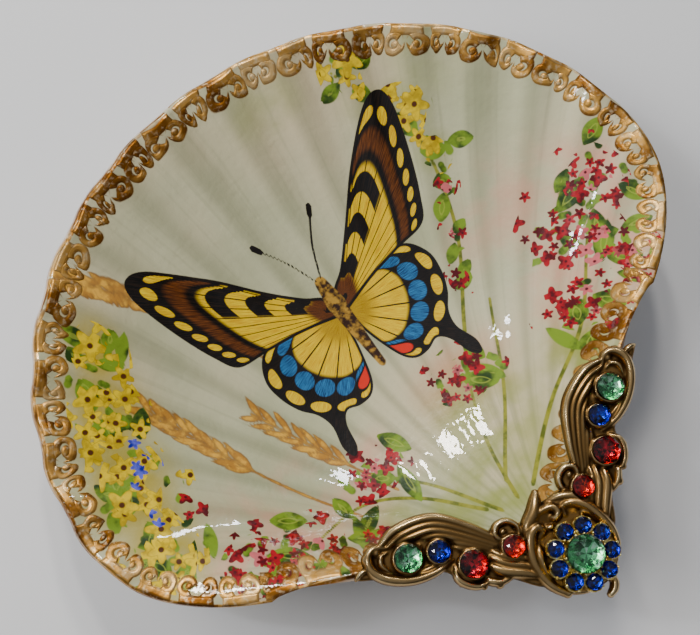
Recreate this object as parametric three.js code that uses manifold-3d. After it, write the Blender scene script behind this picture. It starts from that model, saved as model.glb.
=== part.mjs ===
// A jewellery dish made from one deep scallop shell, standing on its belly with its hollow up.
// A stamped brass corner is glued over the beak, with an arm along each flank of the shell.
// Eight flat-backed stones sit on the arms, and a gilt setting on the roundel holds one large
// stone inside a ring of small ones. Millimetres, +Z up, beak towards -Y, fan towards +Y.
import * as THREE from "three";
import { mergeVertices } from "three/addons/utils/BufferGeometryUtils.js";
import Module from "manifold-3d";

const wasm = await Module();
wasm.setup();

// Shell outline, seen square to its rim. The beak is at the origin of the rim frame.
const FAN_HALF_WIDTH = 67.4;
const FAN_CENTRE_FROM_BEAK = 53.3;
const FAN_LENGTH_AHEAD = 59.4; // from the fan's widest line to its front edge
const FAN_LENGTH_BEHIND = 37.6; // from the widest line towards the shoulders
const FAN_CLOSING = 0.11; // share by which the ribs and flanks close up at the beak

// Shell body
const HOLLOW_DEPTH = 22;
const DEEPEST_SHARE = 0.8; // under 1 moves the deepest place towards the beak
const FLANK_SHARPNESS = 3; // the higher, the flatter the floor and the steeper the flanks
const SHELL_WALL = 2.5;
const RIB_COUNT = 17;
const RIB_SQUARENESS = 1.2;
const INNER_RIB_HEIGHT = 0.55; // half the wave at the rim
const OUTER_RIB_HEIGHT = 1.05;
const RIM_SCALLOP = 0.45; // how far each rib pushes the rim out
const RIB_FADE_AT_BEAK = 1.3; // power with which the ribs fade towards the beak
const BELLY_GROUND_OFF = 0.8; // the small flat that the shell stands on

// Stamped brass corner
const GLUE_LINE = 0.3; // between shell, brass, setting and stones
const ARM_ANGLE_DEG = 33; // each arm's direction above the line across the shell
const CORNER_OFF_MIDDLE = 1.2; // the corner is glued on a little to one side
const PLATE_THICKNESS = 0.9;
const RIDGE_HEIGHT = 1.5; // of a full-height ridge above the plate
const ROUNDEL_RADIUS = 8.9;
const ROUNDEL_Y = -0.8;
const ROUNDEL_FLOOR = 1.4;
const ROUNDEL_RIM_WIDTH = 1.5;
const SWIRL_LEAVES = 5;
const SEAT_HEIGHT = 1.7; // of the flat under each stone on the arms
const SEAT_INSET = 0.35; // how much smaller than its stone a seat is

// Gilt setting and stones
const CLUSTER_Y = -3;
const CENTRE_STONE_RADIUS = 3.6;
const RING_STONE_RADIUS = 1.6;
const RING_STONES = 9;
const RING_RADIUS = 5.3;
const SETTING_THICKNESS = 0.8;
const CUP_HEIGHT = 0.9;
const CUP_WALL = 0.25; // how far a cup reaches past its stone
const CROWN_SHARE = 0.62; // height of a stone as a share of its radius
const LARGE_STONE_RADIUS = 2.65;
const SMALL_STONE_RADIUS = 2.1;

// Stones along an arm: distance out along the arm and in towards the hollow, from the beak.
const ARM_STONES = [
  { name: "green", along: 30.4, inward: 0.5, radius: LARGE_STONE_RADIUS, colour: 0x3f9a5a },
  { name: "blue", along: 24.6, inward: 1.1, radius: SMALL_STONE_RADIUS, colour: 0x0c2a8a },
  { name: "red", along: 18.5, inward: -1.9, radius: LARGE_STONE_RADIUS, colour: 0xb3101c },
  { name: "orange", along: 10.7, inward: 0.5, radius: SMALL_STONE_RADIUS, colour: 0xe0440c },
];

// Faceting
const RIM_STEPS = 6 * RIB_COUNT;
const WALL_STEPS = 9;
const RIDGE_STEPS = 7;
const RIDGE_SIDES = 4;
const BEAD_SEGMENTS = 7;
const ROUND_SEGMENTS = 20;

// Density in grams per cubic millimetre, used to find how the dish stands.
const SHELL_DENSITY = 0.0027;
const BRASS_DENSITY = 0.0085;
const STONE_DENSITY = 0.0025;

const { abs, cos, sin, pow, PI, asin, atan2, hypot, tanh, min, max } = Math;
const radians = THREE.MathUtils.degToRad;

const finishes = {
  shell: new THREE.MeshStandardMaterial({ color: 0xd9d6c2, roughness: 0.15, metalness: 0 }),
  brass: new THREE.MeshStandardMaterial({ color: 0x8a6a3c, roughness: 0.38, metalness: 1 }),
  gilt: new THREE.MeshStandardMaterial({ color: 0xd8b64a, roughness: 0.25, metalness: 1 }),
};

function stoneFinish(colour) {
  return new THREE.MeshStandardMaterial({ color: colour, roughness: 0.05, metalness: 0 });
}

// A closed geometry as a solid that can be joined and cut.
function solidFrom(geometry) {
  const bare = new THREE.BufferGeometry();
  bare.setAttribute("position", geometry.getAttribute("position"));
  bare.setIndex(geometry.index);
  const merged = mergeVertices(bare, 1e-4);
  const mesh = new wasm.Mesh({
    numProp: 3,
    vertProperties: new Float32Array(merged.attributes.position.array),
    triVerts: new Uint32Array(merged.index.array),
  });
  return new wasm.Manifold(mesh);
}

function geometryFrom(solid) {
  const mesh = solid.getMesh();
  const geometry = new THREE.BufferGeometry();
  geometry.setAttribute("position", new THREE.BufferAttribute(mesh.vertProperties, mesh.numProp));
  geometry.setIndex(new THREE.BufferAttribute(mesh.triVerts, 1));
  return geometry;
}

function joined(solids) {
  return solids.reduce((all, next) => all.add(next));
}

// A triangle list as a geometry.
function surface(points, triangles) {
  const geometry = new THREE.BufferGeometry();
  geometry.setAttribute("position", new THREE.Float32BufferAttribute(points.flatMap((p) => p.toArray()), 3));
  geometry.setIndex(triangles.flat());
  return geometry;
}

// Shell: the ray from the beak at each angle ends on an outline of two half ellipses.
const tangentDrop = FAN_LENGTH_BEHIND / FAN_CENTRE_FROM_BEAK;
const LAST_ELLIPSE_ANGLE = PI / 2 + asin(tangentDrop); // where a ray only grazes the outline
const FLANK_ANGLE = outlineAngle(LAST_ELLIPSE_ANGLE);

function outlinePoint(turn) {
  const ahead = cos(turn) > 0 ? FAN_LENGTH_AHEAD : FAN_LENGTH_BEHIND;
  return [FAN_HALF_WIDTH * sin(turn), FAN_CENTRE_FROM_BEAK + ahead * cos(turn)];
}

function outlineAngle(turn) {
  const [x, y] = outlinePoint(turn);
  return atan2(x, y);
}

function ribWave(across) {
  const wave = tanh(RIB_SQUARENESS * cos(PI * RIB_COUNT * across)) / tanh(RIB_SQUARENESS);
  return wave * (1 - pow(abs(across), 10));
}

// across runs from -1 to 1 over the fan, and outward from 0 at the beak to 1 at the rim.
function wallPoint(turn, outward, ribHeight) {
  const [x, y] = outlinePoint(turn);
  const reach = hypot(x, y);
  const across = atan2(x, y) / FLANK_ANGLE;
  const angle = atan2(x, y) * (1 - FAN_CLOSING * pow(1 - outward, 0.6));
  const rib = ribWave(across) * pow(outward, RIB_FADE_AT_BEAK);
  const distance = outward * (reach + RIM_SCALLOP * rib * outward);
  const floor = sin(PI * pow(outward, DEEPEST_SHARE)) * (1 - pow(abs(across), FLANK_SHARPNESS));
  return new THREE.Vector3(
    distance * sin(angle),
    distance * cos(angle),
    -HOLLOW_DEPTH * floor - ribHeight * rib,
  );
}

// The way out through the wall, square to the smooth hollow.
function wallNormal(turn, outward) {
  const step = 1e-3;
  const low = max(outward - step, step);
  const high = min(outward + step, 1 - step / 10);
  const left = max(turn - step, -LAST_ELLIPSE_ANGLE + step / 10);
  const right = min(turn + step, LAST_ELLIPSE_ANGLE - step / 10);
  const middle = min(max(outward, 2 * step), 1);
  const alongWall = wallPoint(turn, high, 0).sub(wallPoint(turn, low, 0));
  const acrossWall = wallPoint(right, middle, 0).sub(wallPoint(left, middle, 0));
  return alongWall.cross(acrossWall).normalize();
}

function shellGeometry() {
  const inner = [];
  const outer = [];
  for (let j = 0; j <= WALL_STEPS; j++) {
    const outward = j / WALL_STEPS;
    for (let i = 0; i <= RIM_STEPS; i++) {
      const turn = LAST_ELLIPSE_ANGLE * ((2 * i) / RIM_STEPS - 1);
      inner.push(wallPoint(turn, outward, INNER_RIB_HEIGHT));
      const away = wallNormal(turn, outward).multiplyScalar(SHELL_WALL);
      outer.push(wallPoint(turn, outward, OUTER_RIB_HEIGHT).add(away));
    }
  }
  const points = [...inner, ...outer];
  const row = RIM_STEPS + 1;
  const outside = inner.length;
  const triangles = [];
  const quad = (a, b, c, d) => triangles.push([a, b, c], [a, c, d]);
  for (let j = 0; j < WALL_STEPS; j++) {
    for (let i = 0; i < RIM_STEPS; i++) {
      const a = j * row + i;
      quad(a, a + row, a + row + 1, a + 1);
      quad(outside + a, outside + a + 1, outside + a + row + 1, outside + a + row);
    }
    const left = j * row;
    quad(left, outside + left, outside + left + row, left + row);
    const right = left + RIM_STEPS;
    quad(right, right + row, outside + right + row, outside + right);
  }
  const rim = WALL_STEPS * row;
  for (let i = 0; i < RIM_STEPS; i++) {
    quad(rim + i, outside + rim + i, outside + rim + i + 1, rim + i + 1);
    quad(i, i + 1, outside + i + 1, outside + i);
  }
  const flipped = triangles.map(([a, b, c]) => [a, c, b]);
  return surface(points, flipped);
}

// Brass: places on an arm are given out along it and inward to the hollow. side is 1 or -1.
function onArm(along, inward, side) {
  const angle = radians(ARM_ANGLE_DEG);
  return new THREE.Vector2(
    side * (along * cos(angle) - inward * sin(angle)),
    along * sin(angle) + inward * cos(angle),
  );
}

// A rounded ridge along a route, tapering at both ends, with its flat underside at base.
function ridge(route, width, height, base, tip = 0.3) {
  const curve = new THREE.SplineCurve(route);
  const points = [];
  for (let i = 0; i <= RIDGE_STEPS; i++) {
    const t = i / RIDGE_STEPS;
    const centre = curve.getPoint(t);
    const ahead = curve.getTangent(t);
    const full = tip + (1 - tip) * pow(sin(PI * (0.08 + 0.84 * t)), 0.6);
    for (let k = 0; k <= RIDGE_SIDES; k++) {
      const turn = (PI * k) / RIDGE_SIDES;
      const sideways = (width / 2) * full * cos(turn);
      points.push(
        new THREE.Vector3(
          centre.x - ahead.y * sideways,
          centre.y + ahead.x * sideways,
          base + height * full * sin(turn),
        ),
      );
    }
  }
  const ring = RIDGE_SIDES + 1;
  const triangles = [];
  for (let i = 0; i < RIDGE_STEPS; i++) {
    for (let k = 0; k < ring; k++) {
      const a = i * ring + k;
      const b = i * ring + ((k + 1) % ring);
      triangles.push([a, b, b + ring], [a, b + ring, a + ring]);
    }
  }
  const last = RIDGE_STEPS * ring;
  for (let k = 1; k < RIDGE_SIDES; k++) {
    triangles.push([0, k + 1, k], [last, last + k, last + k + 1]);
  }
  const made = solidFrom(surface(points, triangles));
  if (made.volume() > 0) return made;
  const turned = triangles.map(([a, b, c]) => [a, c, b]);
  return solidFrom(surface(points, turned));
}

function plate(outline, thickness) {
  const shape = new THREE.Shape(new THREE.SplineCurve([...outline, outline[0]]).getPoints(outline.length * 2));
  const geometry = new THREE.ExtrudeGeometry(shape, { depth: thickness, bevelEnabled: false });
  return solidFrom(geometry);
}

function disc(radius, height, x, y, z, segments = ROUND_SEGMENTS) {
  const geometry = new THREE.CylinderGeometry(radius, radius, height, segments);
  geometry.rotateX(PI / 2);
  geometry.translate(x, y, z + height / 2);
  return solidFrom(geometry);
}

function bead(radius, place, z) {
  const geometry = new THREE.SphereGeometry(radius, BEAD_SEGMENTS, BEAD_SEGMENTS / 2 + 1);
  geometry.translate(place.x, place.y, z);
  return solidFrom(geometry);
}

// The edge of an arm's plate, from the roundel out along the hollow side and back outside.
const ARM_EDGE = [
  [3.6, 2.2], [8.8, 2.8], [11.6, 5.5], [14.2, 3.9], [18.6, 5.6], [25, 7.8], [31, 6.4], [36, 3],
  [38.4, 0.2], [40.4, -2.2], [36, -2.7], [30.8, -3.8], [24, -2.6], [20.8, -5], [16.6, -5.9],
  [12.4, -5], [4.6, -7.2],
];

// Ridges of an arm: a fan of leaf folds, the long scroll, the stem, the hook and the tip.
const ARM_RIDGES = [
  { route: [[13.4, 2.2], [20.4, 5.8], [26, 7], [31.6, 5.4], [34.4, 2.9]], width: 2.1, height: 1 },
  { route: [[14.8, 1.4], [20.4, 4], [25, 5], [29.2, 4.4]], width: 1.7, height: 0.9 },
  { route: [[15.6, 0.6], [19, 2.5], [21.6, 3]], width: 1.7, height: 0.85 },
  {
    route: [[34.8, 3], [37.4, 1.2], [36.8, -1.6], [33, -3.1], [28, -3.2], [22.6, -1.2], [19.8, 1.3]],
    width: 1.6,
    height: 0.9,
  },
  { route: [[4, -5.8], [9.4, -4], [13.8, -3.4], [15.2, -2]], width: 3.2, height: 1 },
  { route: [[11.2, -4.2], [16.4, -5], [20, -5], [21.6, -3.3]], width: 1.5, height: 0.9 },
  { route: [[9.6, 2.8], [10.6, 4.8], [12.7, 5], [14.2, 3.2]], width: 1.4, height: 0.9 },
  { route: [[36.8, -1.2], [38.6, -0.8], [40, -2]], width: 1.4, height: 0.7 },
];
const ARM_BEADS = [
  { at: [12.1, 3.4], radius: 0.95 },
  { at: [36, 2.2], radius: 1.35 },
  { at: [28, 2.2], radius: 0.75 },
  { at: [14.2, -5.6], radius: 1.05 },
  { at: [20.8, -4.6], radius: 0.85 },
];

function armSolids(side) {
  const place = ([along, inward]) => onArm(along, inward, side);
  const top = PLATE_THICKNESS / 2;
  return [
    plate(ARM_EDGE.map(place), PLATE_THICKNESS),
    ...ARM_RIDGES.map((r) => ridge(r.route.map(place), r.width, top + RIDGE_HEIGHT * r.height, top)),
    ...ARM_BEADS.map((b) => bead(b.radius, place(b.at), PLATE_THICKNESS + b.radius / 2)),
    ...ARM_STONES.map((s) => {
      const seat = onArm(s.along, s.inward, side);
      return disc(s.radius - SEAT_INSET, SEAT_HEIGHT, seat.x, seat.y, 0, ROUND_SEGMENTS / 2);
    }),
  ];
}

// The roundel: a low floor inside swirling leaf ridges, a leaf point and a curled tail.
function roundelSolids() {
  const centre = new THREE.Vector2(0, ROUNDEL_Y);
  const around = (radius, degrees) => {
    const turn = radians(degrees);
    return new THREE.Vector2(centre.x + radius * cos(turn), centre.y + radius * sin(turn));
  };
  const top = PLATE_THICKNESS / 2;
  const leafHeight = top + RIDGE_HEIGHT;
  const made = [disc(ROUNDEL_RADIUS, ROUNDEL_FLOOR, centre.x, centre.y, 0)];
  const rimRadius = ROUNDEL_RADIUS - ROUNDEL_RIM_WIDTH / 2;
  for (let leaf = 0; leaf < SWIRL_LEAVES; leaf++) {
    const start = 200 - leaf * 48;
    const inner = rimRadius - 0.5 * leaf;
    const route = [0, 30, 60, 90, 120].map((step) => around(inner + 0.004 * step, start - step));
    made.push(ridge(route, ROUNDEL_RIM_WIDTH + 0.5, leafHeight, top));
  }
  const rim = [150, 190, 230, 270, 310, 350, 390].map((degrees) => around(rimRadius, degrees));
  made.push(ridge(rim, ROUNDEL_RIM_WIDTH + 0.3, leafHeight - 0.3, top));
  const hook = [[-2.9, 7.2], [-1.2, 6], [-1.6, 4.4], [-3.4, 4.5], [-4.3, 5.8]].map(([x, y]) => new THREE.Vector2(x, y));
  made.push(ridge(hook, 1.2, leafHeight, top));
  const leafPoint = [[-5, 3.4], [-2.8, 7], [0, 8.8], [1.1, 10.8]].map(([x, y]) => new THREE.Vector2(x, y));
  made.push(ridge(leafPoint, 2.6, leafHeight - 0.3, 0));
  const tail = [[1.6, -8.8], [1.8, -10.4], [0.9, -11.6], [-0.4, -11.9]].map(([x, y]) => new THREE.Vector2(x, y));
  made.push(ridge(tail, 1.9, leafHeight - 0.4, 0, 0.7));
  return made;
}

function brassCorner() {
  const whole = joined([...armSolids(1), ...armSolids(-1), ...roundelSolids()]);
  const settingRoom = disc(settingRadius() + GLUE_LINE, 9, 0, CLUSTER_Y, ROUNDEL_FLOOR);
  const cleared = whole.subtract(settingRoom);
  const stoneRoom = [1, -1].flatMap((side) =>
    ARM_STONES.map((s) => {
      const seat = onArm(s.along, s.inward, side);
      return disc(s.radius + GLUE_LINE, 9, seat.x, seat.y, SEAT_HEIGHT, ROUND_SEGMENTS / 2);
    }),
  );
  return stoneRoom.reduce((left, room) => left.subtract(room), cleared);
}

// Gilt setting: a plate with a cup for the large stone and one for each small stone.
function settingRadius() {
  return RING_RADIUS + RING_STONE_RADIUS + CUP_WALL;
}

function ringPlace(index) {
  const turn = (2 * PI * (index + 0.25)) / RING_STONES;
  return new THREE.Vector2(RING_RADIUS * cos(turn), RING_RADIUS * sin(turn));
}

function setting() {
  const cups = [];
  for (let i = 0; i < RING_STONES; i++) {
    const place = ringPlace(i);
    cups.push(disc(RING_STONE_RADIUS + CUP_WALL, SETTING_THICKNESS + CUP_HEIGHT, place.x, place.y, 0, ROUND_SEGMENTS / 2));
  }
  const hub = disc(CENTRE_STONE_RADIUS, centreSeat(), 0, 0, 0);
  const plateDisc = disc(RING_RADIUS, SETTING_THICKNESS, 0, 0, 0);
  return joined([plateDisc, hub, ...cups]);
}

function centreSeat() {
  return SETTING_THICKNESS + 2 * CUP_HEIGHT;
}

// A cut stone with a flat back, a girdle, a ring of crown facets and a flat table.
function stone(radius, segments) {
  const height = radius * CROWN_SHARE;
  const profile = [
    [0, 0], [radius * 0.82, 0], [radius, height * 0.3], [radius, height * 0.42], [radius * 0.56, height], [0, height],
  ].map(([x, y]) => new THREE.Vector2(x, y));
  const geometry = new THREE.LatheGeometry(profile, segments);
  geometry.rotateX(PI / 2);
  return geometryFrom(solidFrom(geometry));
}

function named(name, geometry, finish, x = 0, y = 0, z = 0) {
  const mesh = new THREE.Mesh(geometry, finish);
  mesh.name = name;
  mesh.position.set(x, y, z);
  return mesh;
}

function trimmings() {
  const group = new THREE.Group();
  group.position.x = CORNER_OFF_MIDDLE;
  const brassFoot = GLUE_LINE;
  group.add(named("brass_corner", geometryFrom(brassCorner()), finishes.brass, 0, 0, brassFoot));
  const settingFoot = brassFoot + ROUNDEL_FLOOR + GLUE_LINE;
  group.add(named("gilt_setting", geometryFrom(setting()), finishes.gilt, 0, CLUSTER_Y, settingFoot));
  const centreFoot = settingFoot + centreSeat() + GLUE_LINE;
  const centreColour = stoneFinish(0x4d9c68);
  const centreCut = stone(CENTRE_STONE_RADIUS, 12);
  group.add(named("stone_centre_green", centreCut, centreColour, 0, CLUSTER_Y, centreFoot));
  const ringFoot = settingFoot + SETTING_THICKNESS + CUP_HEIGHT + GLUE_LINE;
  const ringCut = stone(RING_STONE_RADIUS, 7);
  for (let i = 0; i < RING_STONES; i++) {
    const place = ringPlace(i);
    const name = `stone_ring_blue_${i + 1}`;
    group.add(named(name, ringCut, stoneFinish(0x0c34b0), place.x, CLUSTER_Y + place.y, ringFoot));
  }
  const armFoot = brassFoot + SEAT_HEIGHT + GLUE_LINE;
  for (const [word, side] of [["right", 1], ["left", -1]]) {
    for (const s of ARM_STONES) {
      const place = onArm(s.along, s.inward, side);
      const name = `stone_${word}_${s.name}`;
      group.add(named(name, stone(s.radius, 8), stoneFinish(s.colour), place.x, place.y, armFoot));
    }
  }
  return group;
}

// How the dish stands: the tip forward or back that brings its balance point lowest.
function centreOfMass(parts) {
  let mass = 0;
  const moment = new THREE.Vector3();
  for (const { geometry, density, offset } of parts) {
    const flat = geometry.index ? geometry.toNonIndexed() : geometry;
    const p = flat.attributes.position;
    const corners = [new THREE.Vector3(), new THREE.Vector3(), new THREE.Vector3()];
    for (let i = 0; i < p.count; i += 3) {
      corners.forEach((corner, k) => corner.fromBufferAttribute(p, i + k).add(offset));
      const [a, b, c] = corners;
      const volume = a.dot(b.clone().cross(c)) / 6;
      mass += volume * density;
      moment.addScaledVector(a.clone().add(b).add(c), (volume * density) / 4);
    }
  }
  return moment.divideScalar(mass);
}

function heightAbove(points, centre, tilt) {
  const lift = (p) => p.y * sin(tilt) + p.z * cos(tilt);
  return lift(centre) - points.reduce((low, p) => min(low, lift(p)), Infinity);
}

function restingTilt(points, centre) {
  let best = 0;
  for (let width = radians(20); width > radians(0.005); width /= 2) {
    const tries = [best - width, best, best + width];
    best = tries.reduce((a, b) => (heightAbove(points, centre, a) <= heightAbove(points, centre, b) ? a : b));
  }
  return best;
}

const extras = trimmings();
const bareShell = geometryFrom(solidFrom(shellGeometry()));
const weighed = [{ geometry: bareShell, density: SHELL_DENSITY, offset: new THREE.Vector3() }];
for (const mesh of extras.children) {
  const density = mesh.name.startsWith("stone") ? STONE_DENSITY : BRASS_DENSITY;
  weighed.push({ geometry: mesh.geometry, density, offset: mesh.position.clone().add(extras.position) });
}
const shellPoints = [];
for (let i = 0; i < bareShell.attributes.position.count; i++) {
  shellPoints.push(new THREE.Vector3().fromBufferAttribute(bareShell.attributes.position, i));
}
const tilt = restingTilt(shellPoints, centreOfMass(weighed));

// The belly is ground flat where it meets the table.
const lowest = shellPoints.reduce((low, p) => min(low, p.y * sin(tilt) + p.z * cos(tilt)), Infinity);
const tableSize = 4 * FAN_HALF_WIDTH;
const table = new THREE.BoxGeometry(tableSize, tableSize, tableSize);
table.translate(0, 0, lowest + BELLY_GROUND_OFF - tableSize / 2);
table.applyMatrix4(new THREE.Matrix4().makeRotationX(-tilt));
const shell = geometryFrom(solidFrom(bareShell).subtract(solidFrom(table)));

const rimFrame = new THREE.Group();
rimFrame.rotation.x = tilt;
rimFrame.add(named("scallop_shell", shell, finishes.shell), extras);

const dish = new THREE.Group();
dish.add(rimFrame);
const box = new THREE.Box3().setFromObject(dish, true);
rimFrame.position.set(-(box.min.x + box.max.x) / 2, -(box.min.y + box.max.y) / 2, -box.min.z);

export default dish;
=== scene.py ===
"""The looks of the shell dish: painted hollow, gilt rim, antiqued corner and cut stones."""

import math

import bpy
import numpy as np
from mathutils import Matrix, Vector


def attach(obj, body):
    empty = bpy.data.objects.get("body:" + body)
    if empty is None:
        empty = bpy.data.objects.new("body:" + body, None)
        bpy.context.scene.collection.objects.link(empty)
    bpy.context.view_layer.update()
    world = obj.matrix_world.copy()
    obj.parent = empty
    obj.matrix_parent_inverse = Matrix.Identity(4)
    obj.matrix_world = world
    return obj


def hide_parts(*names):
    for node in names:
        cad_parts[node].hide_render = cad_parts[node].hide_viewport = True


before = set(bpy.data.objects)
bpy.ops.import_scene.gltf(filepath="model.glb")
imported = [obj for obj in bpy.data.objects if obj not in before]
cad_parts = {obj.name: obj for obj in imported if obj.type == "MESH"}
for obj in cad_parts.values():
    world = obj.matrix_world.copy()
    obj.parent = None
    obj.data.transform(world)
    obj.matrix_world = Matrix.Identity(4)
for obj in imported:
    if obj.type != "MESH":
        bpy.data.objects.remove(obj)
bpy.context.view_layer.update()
rng = np.random.default_rng(7)

# Sizes in millimetres, as the solids have them.
FAN_HALF_WIDTH = 67.4
FAN_CENTRE = 53.3
FAN_AHEAD = 59.4
FAN_BEHIND = 37.6
FAN_CLOSING = 0.11
HOLLOW_DEPTH = 22.0
DEEPEST_SHARE = 0.8
FLANK_SHARPNESS = 3.0
SHELL_WALL = 2.5
RIBS = 17
RIB_SQUARENESS = 1.2
INNER_RIB = 0.5
OUTER_RIB = 1.0
RIB_FADE = 1.3  # power with which the ribs fade towards the beak
RESIN_FADE = 3.0  # the same inside, where the resin levels them
RIM_SCALLOP = 0.45
RIM_ROUNDING = 0.35
GLUE = 0.3
ARM_ANGLE = math.radians(33)
CORNER_OFF_MIDDLE = 1.2
PLATE = 0.9
ROUNDEL_RADIUS = 8.9
ROUNDEL_Y = -0.8
ROUNDEL_FLOOR = 1.4
CLUSTER_Y = -3.0
CENTRE_STONE = 3.6
RING_STONE = 1.6
RING_RADIUS = 5.3
SETTING = 0.8
CUP = 0.9
CROWN = 0.62
SEAT = 1.7

# The gold border: length of one scroll, how far the brush strays, and how far the pattern reaches inward.
SCROLL_PERIOD = 8.1
BRUSH_STRAY = 1.3
BORDER_SQUEEZE = 0.88

# Thin washes of colour: pink, green and yellow, each with the limits of its blotches.
WASHES = (("#cf8674", 0.3, 0.7), ("#828c3c", 0.25, 0.65), ("#a08e1a", 0.22, 0.5))
# Strewn leaves and flowers: size in mm, petals, shift of the pattern, share of the places filled.
SMALL_LEAVES = (3.1, 2.0, 5.3, 0.75)
RED_FLOWERS = ((4.0, 4.0, 1.7, 1.0), (2.6, 5.0, 8.1, 0.9))
YELLOW_FLOWERS = ((4.4, 5.0, 11.9, 0.6), (5.6, 5.0, 3.3, 1.0), (6.8, 5.0, 23.1, 1.0))
BLUE_FLOWERS = (3.0, 5.0, 17.7, 1.0)
FAR = 9.0  # a painted field's distance in mm where nothing of it is near
GRAIN_SPACING = 2.1
GRAIN_LEAN = 0.4  # of a grain off its stalk, in radians

# How the rim frame lies in the row's frame: a tip about X, then a shift.
RIM_TIP = math.radians(-6.787109375)
BEAK = np.array([0.0, -50.234, 29.769])


def to_row(points):
    """Rim-frame millimetres to row-frame metres."""
    p = np.atleast_2d(np.asarray(points, float))
    c, s = math.cos(RIM_TIP), math.sin(RIM_TIP)
    turned = np.stack([p[:, 0], p[:, 1] * c - p[:, 2] * s, p[:, 1] * s + p[:, 2] * c], 1)
    return (turned + BEAK) * 0.001


def linear(hex_colour):
    """An sRGB hex colour as linear RGBA."""
    parts = [int(hex_colour[i : i + 2], 16) / 255 for i in (1, 3, 5)]
    return tuple(((v + 0.055) / 1.055) ** 2.4 if v > 0.04 else v / 12.92 for v in parts) + (1.0,)


def make_object(name, points, faces, smooth=True):
    """A mesh from points in metres and faces."""
    mesh = bpy.data.meshes.new(name)
    mesh.from_pydata([tuple(p) for p in points], [], [tuple(f) for f in faces])
    mesh.update()
    if smooth:
        mesh.shade_smooth()
    obj = bpy.data.objects.new(name, mesh)
    bpy.context.collection.objects.link(obj)
    return obj


def store(obj, name, values):
    """A vector kept on each vertex, for a material to read."""
    values = np.asarray(values, np.float32)
    attribute = obj.data.attributes.new(name, "FLOAT_VECTOR", "POINT")
    attribute.data.foreach_set("vector", np.ascontiguousarray(values).ravel())


# ---- Materials ----


class Nodes:
    """A node tree being built up."""

    def __init__(self, tree):
        self.tree = tree

    def set(self, node, values):
        """Gives a node's inputs a link, a hex colour or a plain value each."""
        for key, value in values.items():
            socket = node.inputs[key.replace("_", " ") if isinstance(key, str) else key]
            if isinstance(value, bpy.types.NodeSocket):
                self.tree.links.new(value, socket)
            elif isinstance(value, str) and value.startswith("#"):
                socket.default_value = linear(value)
            else:
                socket.default_value = value

    def node(self, kind, inputs=None, **settings):
        node = self.tree.nodes.new(kind)
        for key, value in settings.items():
            setattr(node, key, value)
        self.set(node, inputs or {})
        return node

    def add(self, kind, inputs=None, out=0, **settings):
        """One output of a new shader node."""
        return self.node("ShaderNode" + kind, inputs, **settings).outputs[out]

    def calc(self, operation, a, b=0.0, c=0.0):
        return self.add("Math", {0: a, 1: b, 2: c}, operation=operation)

    def plus(self, a, b):
        return self.calc("ADD", a, b)

    def minus(self, a, b):
        return self.calc("SUBTRACT", a, b)

    def times(self, a, b):
        return self.calc("MULTIPLY", a, b)

    def squares(self, x, y):
        return self.plus(self.times(x, x), self.times(y, y))

    def length(self, x, y):
        return self.calc("SQRT", self.squares(x, y))

    def mix(self, factor, a, b):
        return self.add("Mix", {0: factor, 6: a, 7: b}, out=2, data_type="RGBA")

    def ramp(self, value, low, high, start=0.0, end=1.0):
        """Value mapped from low..high to start..end, smoothly and held at both ends."""
        inputs = {0: value, 1: low, 2: high, 3: start, 4: end}
        return self.add("MapRange", inputs, interpolation_type="SMOOTHSTEP")

    def noise(self, scale, detail=2.0, vector=None, rough=0.5):
        inputs = {"Scale": scale, "Detail": detail, "Roughness": rough}
        inputs["Vector"] = vector or self.place()
        return self.add("TexNoise", inputs)

    def stray(self, scale, detail, amount):
        """Noise about zero, to push something off its place."""
        return self.times(self.minus(self.noise(scale, detail), 0.5), amount)

    def place(self):
        return self.add("TexCoord", out=3)

    def kept(self, name):
        """The three parts of a vector kept on the mesh."""
        return self.parts(self.add("Attribute", out=1, attribute_name=name))

    def parts(self, vector):
        node = self.tree.nodes.new("ShaderNodeSeparateXYZ")
        self.tree.links.new(vector, node.inputs[0])
        return node.outputs[0], node.outputs[1], node.outputs[2]

    def bump(self, height, distance, strength=1.0, normal=None):
        inputs = {"Height": height, "Distance": distance, "Strength": strength}
        if normal:
            inputs["Normal"] = normal
        return self.add("Bump", inputs)


class Finish(Nodes):
    """A node material being built up."""

    def __init__(self, name, **values):
        self.material = bpy.data.materials.new(name)
        self.material.use_nodes = True
        super().__init__(self.material.node_tree)
        self.shader = self.tree.nodes["Principled BSDF"]
        self.set(self.shader, values)

    def finish(self, **links):
        self.set(self.shader, links)
        return self.material


def inside(f, distance, soft=0.12):
    """1 where a signed distance in mm is below zero, with a soft edge."""
    return f.ramp(distance, soft, -soft)


def gold_colour(f, along):
    """Antique gold leaf: dark bronze in the thin coats, pale gold where it is thick."""
    motif = f.calc("FLOOR", f.plus(f.calc("DIVIDE", along, SCROLL_PERIOD), 0.5))
    tint = f.add("TexWhiteNoise", {"W": motif}, noise_dimensions="1D")
    patch = f.plus(f.noise(170.0, 3.0), f.times(f.minus(tint, 0.5), 0.16))
    base = f.mix(f.ramp(patch, 0.36, 0.58), "#8c5818", "#e0aa54")
    base = f.mix(f.ramp(patch, 0.55, 0.68, 0.0, 0.7), base, "#f6d090")
    return f.mix(f.ramp(f.noise(1100.0, 3.0), 0.5, 0.75, 0.0, 0.55), base, "#ffedc4")


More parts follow.
